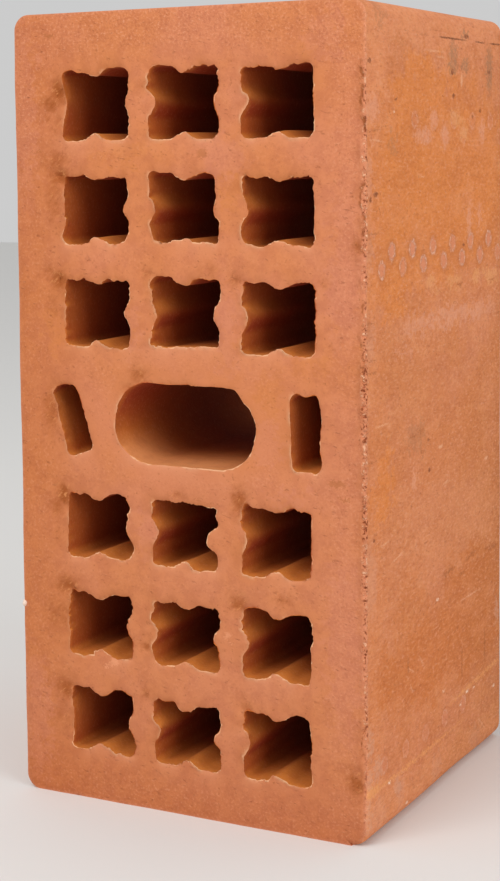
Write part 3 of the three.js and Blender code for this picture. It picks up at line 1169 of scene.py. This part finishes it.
# %% Strokes on the front
FRONT_ZONES = [
    (clay(213, 134, 108), 0.28, 6, [
        (74, 45, 8, 7), (47, 161, 4, 8), (114, 80, 6, 28), (88, 132, 5, 8), (75, 97, 4, 14),
        (113, 190, 6, 30), (3, 30, 5, 30), (4, 225, 6, 20), (96, 147, 6, 2.5), (41, 97, 4, 8),
        (108, 10, 7, 8),
    ]),
    (clay(208, 126, 66), 0.32, 6, [
        (89, 115, 4, 8), (101, 106, 8, 3), (76, 56, 3, 6), (13, 100, 4, 6), (40, 44, 14, 3),
    ]),
]
FRONT_MARKS = [
    (clay(236, 160, 118), 0.5, 1.4, [
        (33.5, 204.5, 1.8, 1.3), (31, 206, 1.2, 0.7), (74, 191, 1.1, 1), (75, 193.6, 0.8, 0.4),
    ]),
    (clay(176, 104, 60), 0.6, 1.4, [
        (110.5, 141.5, 3, 1.2), (113, 146, 2, 0.5), (67, 44, 2, 1.6), (13, 7, 2, 0.8), (70, 60, 1.5, 1.2),
        (8, 43, 2.5, 0.5),
    ]),
]
print(f"{sum(len(strokes) for *_, strokes in FRONT_ZONES + FRONT_MARKS)} strokes on the front")

# %% Material: wire-cut face
BRUSHED_SLOPE = 0.7  # the way the clay was dragged down beside the openings, in radians
SMEARS, BRUSHED_BITS = 350, 1000  # to the metre
GRIP_SQUASH = (0.6, 0, 1)  # makes the wide finger hole about round

wire_cut, tree, places, colour = start_material("wire_cut_clay")
parts = add(tree, "SeparateXYZ", Vector=places).outputs
flat = face_places(tree, places, "X")
on_front = between(tree, parts["Y"], 0.0, -0.05)
leftwards = between(tree, parts["X"], -0.02, -0.062)
# Painted shade: the face is painted darker towards the bottom and darker still by the floor, where the lamp
# above gives less light.
shade_towards_bottom = between(tree, parts["Z"], 0.2, 0.0, 0.5)
shade_by_floor = between(tree, parts["Z"], 0.03, 0.0, 0.45)
colour = blend(tree, shade_towards_bottom, colour, clay(200, 124, 84))
colour = blend(tree, times(tree, leftwards, 0.6), colour, clay(195, 112, 62))
colour = blend(tree, shade_by_floor, colour, clay(182, 98, 52))
colour = paint(tree, colour, flat, on_front, FRONT_ZONES)

sandy = maths(tree, "MULTIPLY_ADD", between(tree, parts["Z"], 0.19, 0.235), 0.4, 0.6)
sandy = times(tree, sandy, maths(tree, "MULTIPLY_ADD", leftwards, -0.2, 1.0))
sandy = times(tree, sandy, mask(tree, "sandy"))
from_grip = vector_maths(tree, "SUBTRACT", places, (0, 0, finger_hole_z * MM))
from_grip = vector_maths(tree, "MULTIPLY", from_grip, GRIP_SQUASH)
from_grip = vector_maths(tree, "LENGTH", from_grip, output="Value")
marked = between(tree, from_grip, 0.016, 0.03)
mottled, flecked = [maths(tree, "MULTIPLY_ADD", marked, share, 0.2) for share in (0.7, 0.25)]
texture = place_group(
    tree, clay_group, Places=places, Color=colour, Mottled=mottled, Sandy=sandy, Flecked=flecked)
colour = paint(tree, texture["Color"], flat, on_front, FRONT_MARKS)

# Painted shade above and left of each opening, and painted light below it, as a soft haze by the rims.
colour = blend(tree, times(tree, mask(tree, "painted_shade"), 0.6), colour, clay(172, 100, 52))
colour = blend(tree, times(tree, mask(tree, "painted_light_below"), 0.5), colour, clay(230, 154, 114))
scuff = mask(tree, "scuff")
smears = cloud(tree, places, SMEARS, detail=4, roughness=0.65)
smear = maths(tree, "MULTIPLY_ADD", smears, 1.0, maths(tree, "SUBTRACT", scuff, 0.5))
colour = blend(tree, between(tree, smear, 0.0, 1.05, 0.85), colour, clay(158, 82, 34))
brushed = streaked(tree, places, BRUSHED_SLOPE)
bits = cloud(tree, brushed, BRUSHED_BITS, detail=3, roughness=0.6)
pale_bits = times(tree, between(tree, bits, 0.54, 0.68, 0.6), scuff)
dark_bits = times(tree, between(tree, bits, 0.46, 0.32, 0.6), scuff)
colour = blend(tree, pale_bits, colour, clay(230, 154, 98))
colour = blend(tree, dark_bits, colour, clay(150, 80, 38))
height = maths(tree, "ADD", texture["Grain"], times(tree, bits, scuff))

# Painted highlight: the rims and the raised lips get a pale line where they face the light.
lip_and_rim_highlight = maths(tree, "MAXIMUM", mask(tree, "lip"), rim_highlight_share(tree))
colour = blend(tree, lip_and_rim_highlight, colour, clay(242, 184, 140))
edges = place_group(tree, edge_group, Places=places, Color=colour, Height=height)
finish_material(tree, edges["Color"], edges["Height"], relief=0.0003, roughness=0.92)
print(f"{wire_cut.name} has {len(tree.nodes)} nodes")

# %% [markdown]
# The skin tells how the brick was handled. Staggered rows of round marks come from a roller belt that the
# wet brick lay on: two clear rows, two faint ones above them and one near the lower end. Cracks opened
# along the top, lime bloomed beside the marks, and grey dust and lime stains lie here and there. Only the
# cracks are also pressed into the relief, because the renderer can't hold a relief made of many more
# strokes.

# %% Node group: a row of round roller marks
ROLLER_PITCH = 17.3

row_group, given, result = start_group(
    "roller_row",
    {"Places": "Vector", "Start": "Float", "Count": "Float", "Down": "Float"},
    {"Distance": "Float", "Strength": "Float"})
tree = row_group
parts = add(tree, "SeparateXYZ", Vector=given["Places"]).outputs
number = maths(tree, "SUBTRACT", parts["X"], given["Start"])
number = maths(tree, "ROUND", maths(tree, "DIVIDE", number, ROLLER_PITCH))
number = maths(tree, "MAXIMUM", number, 0)
number = maths(tree, "MINIMUM", number, maths(tree, "SUBTRACT", given["Count"], 1))
across = maths(tree, "MULTIPLY_ADD", number, ROLLER_PITCH, given["Start"])
middle = add(tree, "CombineXYZ", X=across, Y=given["Down"]).outputs[0]
distance = vector_maths(tree, "DISTANCE", given["Places"], middle, output="Value")
give(tree, result["Distance"], distance)
chance = add(tree, "TexWhiteNoise", noise_dimensions="3D", Vector=middle).outputs["Value"]
give(tree, result["Strength"], maths(tree, "MULTIPLY_ADD", chance, 0.5, 0.5))
print(f"a row of roller marks has {len(tree.nodes)} nodes")

# %% Strokes and roller marks on the right side
ROLLER_ROWS = [  # down, where the first mark is, how many there are, and their strength
    (73.9, 20.5, 6, 1.0), (79, 12.3, 7, 0.9), (34.5, 39, 5, 0.4), (39.3, 48, 5, 0.35), (228.5, 13, 5, 0.55),
]
ROLLER_RADIUS = 3.0

SKIN_ZONES = [
    (clay(212, 126, 76), 0.5, 16, [
        (90, 150, 75, 32), (15, 175, 40, 18), (70, 97, 62, 6),
    ]),
    (clay(224, 132, 66), 0.8, 12, [
        (62, 55, 80, 34), (20, 82, 26, 9), (12, 147, 10, 10), (45, 27, 36, 11),
    ]),
    (clay(230, 146, 104), 0.8, 8, [
        (75, 2, 90, 13), (5, 14, 16, 20), (1, 55, 4, 50),
    ]),
    (clay(222, 142, 102), 0.5, 8, [
        (70, 98, 60, 3.4), (3, 110, 5, 14), (4, 172, 6, 14), (60, 163, 60, 14), (3, 232, 7, 12),
    ]),
    (clay(206, 116, 58), 0.7, 8, [
        (92, 203, 50, 20), (95, 184, 36, 6), (17, 203, 11, 9), (45, 206, 30, 15),
    ]),
    (clay(222, 142, 96), 0.7, 8, [
        (50, 244, 70, 8), (12, 240, 14, 8),
    ]),
    (clay(194, 112, 64), 0.4, 8, [
        (124, 120, 12, 140),
    ]),
    (clay(222, 134, 84), 0.4, 8, [
        (4, 120, 9, 130),
    ]),
    (clay(216, 150, 124), 0.4, 4, [
        (3, 73, 3, 6), (3, 99, 4, 7), (3, 170, 5, 12), (2, 52, 2, 7), (9, 243, 7, 5), (26, 242, 3, 5),
        (57, 243, 5, 5), (94, 243, 6, 4),
    ]),
]
SKIN_MARKS = [
    (clay(150, 110, 80), 0.6, 3, [
        (73, 15, 4.5, 6), (84, 16.5, 4, 2.5), (84, 7, 4, 1.2), (107.5, 17, 3.6, 8),
    ]),
    (clay(170, 114, 78), 0.4, 5, [
        (21, 42, 4, 3), (40, 132, 9, 4.5), (45, 137, 3, 1.6), (12, 4, 6, 2.5),
    ]),
    (clay(230, 156, 100), 0.65, 3, [
        (76, 34, 7, 2.4), (83, 38.5, 4.5, 2.6), (52, 85, 4, 2), (74, 86, 7, 2), (95, 86, 4, 2.6),
        (110, 87, 7, 2.6), (102, 84.5, 4, 0.8), (57, 88, 6, 0.6),
    ]),
    (clay(230, 156, 122), 0.6, 3, [
        (100, 37.5, 2.6, 4), (88.5, 66, 2, 7), (98.5, 66, 1.6, 5), (65, 39, 4, 4), (55, 34, 4, 3),
        (38, 146, 1.5, 5), (46, 39, 9, 2.5), (5, 32, 5, 4.5),
    ]),
    (clay(236, 160, 96), 0.65, 1.4, [
        (38, 234.4, 46, 0.6, 0.5), (96, 223.6, 28, 0.6, 3), (4, 234, 6, 2),
    ]),
    (clay(212, 156, 128), 0.5, 3, [
        (2.6, 219, 2.4, 5), (2.2, 229, 1.8, 3.5), (2, 241, 1.6, 6), (8, 228, 3, 4), (116, 205, 2, 5),
        (24, 238, 3, 3),
    ]),
    (clay(228, 160, 132), 0.42, 5, [
        (72, 97, 44, 2.6), (95, 98.6, 8, 2), (45, 98, 16, 2), (30, 105, 9, 0.8),
    ]),
    (clay(244, 184, 144), 0.6, 0.7, [
        (57, 13, 9, 0.22), (62, 14.7, 4, 0.2), (61, 138.6, 2, 0.6), (101, 240.5, 5, 0.2, -38),
        (90, 193, 11, 0.2), (35.5, 205, 3, 0.25, -25), (44, 204, 3, 0.25, -45), (36, 211, 2, 0.3, -50),
        (9, 41, 6, 0.22, -3), (45, 52, 3, 0.2), (66, 151, 3, 0.3, 8), (105, 149, 2, 0.5),
        (14, 161, 4, 0.2, 8), (24, 167, 5, 0.2, 10), (12, 125, 5, 0.2), (80.7, 21.5, 1, 2.2),
    ]),
    (clay(255, 224, 196), 0.9, 0.7, [
        (58, 187.7, 1.3, 0.4), (63.5, 219.2, 1, 0.4), (31.5, 246, 1, 0.4, -20), (17, 235, 1.2, 0.3),
        (86, 225.3, 1.4, 0.4), (93, 225.8, 1.2, 0.3), (79.5, 228, 1, 0.3), (113.5, 230.5, 1.2, 0.4),
        (22, 32.5, 0.6, 0.3),
    ]),
    (clay(136, 74, 40), 0.95, 0.7, [
        (72.3, 19, 1.3, 1), (73.5, 26.6, 1.3, 0.8), (91, 33, 0.8, 0.5), (98, 31, 1.2, 0.6),
        (107, 18, 1.6, 0.6), (83, 75, 1.1, 0.5), (51.2, 144.5, 1, 0.8), (23.5, 28.5, 1.4, 0.4, 20),
        (7, 56.5, 2, 0.7), (3, 18, 1.4, 0.8), (50.5, 135, 1.2, 0.5), (85, 7.2, 2.4, 0.7),
        (6, 158.5, 1, 0.4), (3, 58, 1, 1),
    ]),
    (clay(168, 94, 48), 0.8, 1.4, [
        (79, 87.6, 3, 0.7), (110, 88, 3, 0.6), (44, 131, 3, 0.5), (37, 132, 3, 0.6), (45, 138, 1.8, 0.6),
        (68, 180.7, 7, 0.7), (90, 179.5, 6, 0.7, 8), (82, 184, 3, 0.5), (112, 181, 5, 1),
        (80.5, 214, 0.6, 6), (33, 203, 0.8, 3), (104, 214, 0.8, 6),
    ]),
    (clay(156, 88, 46), 0.7, 0.7, [
        (46, 8.3, 4.2, 0.14), (31, 7.9, 3.2, 0.12), (8, 8.2, 3, 0.12), (56, 6.6, 5, 0.12),
        (5, 68, 5.5, 0.2), (3, 94, 4, 0.25), (4.5, 105, 4, 0.2), (4, 108.5, 4.5, 0.25),
        (6, 38, 7, 0.2, 4), (13, 36.8, 6, 0.14, 4), (4.5, 135, 4, 0.2, -2), (1.5, 146, 1.8, 0.3, -20),
        (10, 61, 1.6, 0.25, -50),
    ]),
]
CRACKS = [  # strokes with a colour and a fray of their own
    (72.5, 8.4, 12, 0.17), (98.5, 8.4, 4.5, 0.15), (114, 8.3, 5.5, 0.17, 1),
]
print(f"{sum(len(strokes) for *_, strokes in SKIN_ZONES + SKIN_MARKS)} strokes on the right side")

# %% Material: die skin
ALONG_DIE = (1, 0.4, 1)  # the die drew the texture of the skin out along the perforations
SKIN_TINT, FAR_SHADE = clay(255, 253, 240), clay(240, 240, 228)  # multiplied
BLOTCHES, SCRAPES, SPECKLES = 110, 500, 900  # to the metre
CRACK_FRAY = 0.5

die_skin, tree, places, colour = start_material("die_skin_clay")
flat = face_places(tree, places, "Y")
parts = add(tree, "SeparateXYZ", Vector=places).outputs
on_right = between(tree, parts["X"], 0.052, 0.057)
colour = paint(tree, colour, flat, on_right, SKIN_ZONES)
# Painted shade: the far and lower part of the side is darker, where less light reaches.
shaded_farther = between(tree, parts["Y"], -0.02, 0.07)
lower = between(tree, parts["Z"], 0.16, 0.08)
colour = blend(tree, times(tree, shaded_farther, lower), colour, FAR_SHADE, "MULTIPLY")
colour = blend(tree, 1.0, colour, SKIN_TINT, "MULTIPLY")

drawn_out = vector_maths(tree, "MULTIPLY", places, ALONG_DIE)
blotches = cloud(tree, drawn_out, BLOTCHES, detail=4, roughness=0.6)
colour = two_tone(tree, colour, blotches, 0.3, clay(226, 144, 96), clay(196, 110, 54))
texture = place_group(
    tree, clay_group, Places=drawn_out, Color=colour, Mottled=0.5, Sandy=0.85, Flecked=0.4)
scrapes = cloud(tree, drawn_out, SCRAPES, detail=4, roughness=0.7)
colour = two_tone(tree, texture["Color"], scrapes, 0.18, clay(236, 162, 110), clay(184, 102, 48))
height = maths(tree, "MULTIPLY_ADD", scrapes, 1.5, texture["Grain"])
speckled = cloud(tree, places, SPECKLES, detail=3, roughness=0.7)

wobble = add(tree, "TexNoise", Vector=flat, Scale=0.7, Detail=2.0).outputs["Fac"]
for down, start, count, strength in ROLLER_ROWS:
    row = place_group(tree, row_group, Places=flat, Start=start, Count=count, Down=down)
    strength = times(tree, times(tree, row["Strength"], strength), on_right)
    distance = maths(tree, "MULTIPLY_ADD", wobble, 1.6, maths(tree, "SUBTRACT", row["Distance"], 0.8))
    shade = between(tree, distance, 1.8 * ROLLER_RADIUS, ROLLER_RADIUS, 0.5)
    colour = blend(tree, times(tree, shade, strength), colour, clay(190, 108, 58))
    inner = between(tree, distance, 1.1 * ROLLER_RADIUS, 0.75 * ROLLER_RADIUS, 0.65)
    colour = blend(tree, times(tree, inner, strength), colour, clay(228, 145, 113))
    off_ring = maths(tree, "ABSOLUTE", maths(tree, "SUBTRACT", distance, 0.8 * ROLLER_RADIUS))
    ring = times(tree, between(tree, off_ring, 0.9, 0.1, 0.9), strength)
    ring = times(tree, ring, between(tree, speckled, 0.42, 0.62))
    colour = blend(tree, ring, colour, clay(248, 190, 160))
    height = maths(tree, "ADD", height, ring)

speckled_right = times(tree, between(tree, speckled, 0.2, 0.6), on_right)
colour = paint(tree, colour, flat, speckled_right, SKIN_MARKS)
cracks = strokes_share(tree, fray_places(tree, flat, CRACK_FRAY), CRACKS)
cracks = times(tree, cracks, times(tree, speckled_right, 0.9))
colour = blend(tree, cracks, colour, clay(140, 76, 40))
height = maths(tree, "SUBTRACT", height, cracks)

colour = blend(tree, mask(tree, "grit"), colour, clay(246, 226, 208))
edges = place_group(tree, edge_group, Places=places, Color=colour, Height=height)
finish_material(tree, edges["Color"], edges["Height"], relief=0.00035, roughness=0.8)
print(f"{die_skin.name} has {len(tree.nodes)} nodes")

# %% [markdown]
# Inside a perforation the light has bounced from wall to wall, which makes the clay look redder and
# darker the deeper it goes. The colour paints that in: a dark red base as painted shade, and golden
# brown painted light near both mouths, strongest on walls that face up and palest on the finger hole's
# floor.

# %% Material: perforation wall
LIT_DEPTH = 42  # how deep the golden painted light reaches into a perforation
GRIP_LIT_DEPTH = 64  # the same in the finger hole
GRIP_HALF_WIDTH, GRIP_HALF_HEIGHT = 0.03, 0.018  # metres, a box round the walls of the finger hole


def inside(depth):
    """Metres from the brick's middle to a place this many millimetres behind a wire-cut face."""
    return (DEPTH / 2 - depth) * MM


core_wall, tree, places, colour = start_material("perforation_wall_clay")
parts = add(tree, "SeparateXYZ", Vector=places).outputs
from_middle = maths(tree, "ABSOLUTE", parts["Y"])
# Painted shade: a dark red base, darker and redder than the clay outside.
colour = blend(tree, 0.94, colour, clay(152, 55, 17))
dim = between(tree, from_middle, inside(12), inside(45), 0.6)
colour = blend(tree, dim, colour, clay(168, 80, 34))

normal = tree.nodes.new("ShaderNodeTexCoord").outputs["Normal"]
upward = add(tree, "SeparateXYZ", Vector=normal).outputs["Z"]
in_grip = maths(tree, "LESS_THAN", maths(tree, "ABSOLUTE", parts["X"]), GRIP_HALF_WIDTH)
from_grip = maths(tree, "ABSOLUTE", maths(tree, "SUBTRACT", parts["Z"], finger_hole_z * MM))
in_grip = times(tree, in_grip, maths(tree, "LESS_THAN", from_grip, GRIP_HALF_HEIGHT))

deeper_in_grip = (LIT_DEPTH - GRIP_LIT_DEPTH) * MM
deepest = maths(tree, "MULTIPLY_ADD", in_grip, deeper_in_grip, inside(LIT_DEPTH))
# Painted light near both mouths, golden brown, most on the walls that face up.
mouth_light = between(tree, from_middle, deepest, inside(2))
mouth_light = times(tree, mouth_light, between(tree, upward, -0.7, 0.9))
mouth_light = maths(tree, "MAXIMUM", mouth_light, between(tree, from_middle, inside(5), inside(0), 0.45))
colour = blend(tree, mouth_light, colour, clay(210, 122, 52))
# Painted light: the floor of the finger hole, which faces up, gets the palest colour.
pale_floor = times(tree, in_grip, between(tree, upward, 0.2, 0.9))
floor_reach = between(tree, from_middle, inside(38), inside(5), 0.8)
colour = blend(tree, times(tree, pale_floor, floor_reach), colour, clay(230, 150, 94))
texture = place_group(tree, clay_group, Places=places, Color=colour, Mottled=0.7, Sandy=0.25, Flecked=0.1)
# Painted highlight along the rims.
colour = blend(tree, rim_highlight_share(tree), texture["Color"], clay(242, 186, 140))
finish_material(tree, colour, texture["Grain"], relief=0.0003, roughness=0.9)
print(f"{core_wall.name} has {len(tree.nodes)} nodes")

# %% Each face gets its material
brick.data.materials.clear()
for material in (wire_cut, die_skin, core_wall):
    brick.data.materials.append(material)
brick.data.polygons.foreach_set("material_index", surface)
print(f"{len(brick.data.materials)} materials")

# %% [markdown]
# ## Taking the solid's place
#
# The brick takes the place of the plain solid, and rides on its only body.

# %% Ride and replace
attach(brick, "root")
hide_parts("perforated_brick")
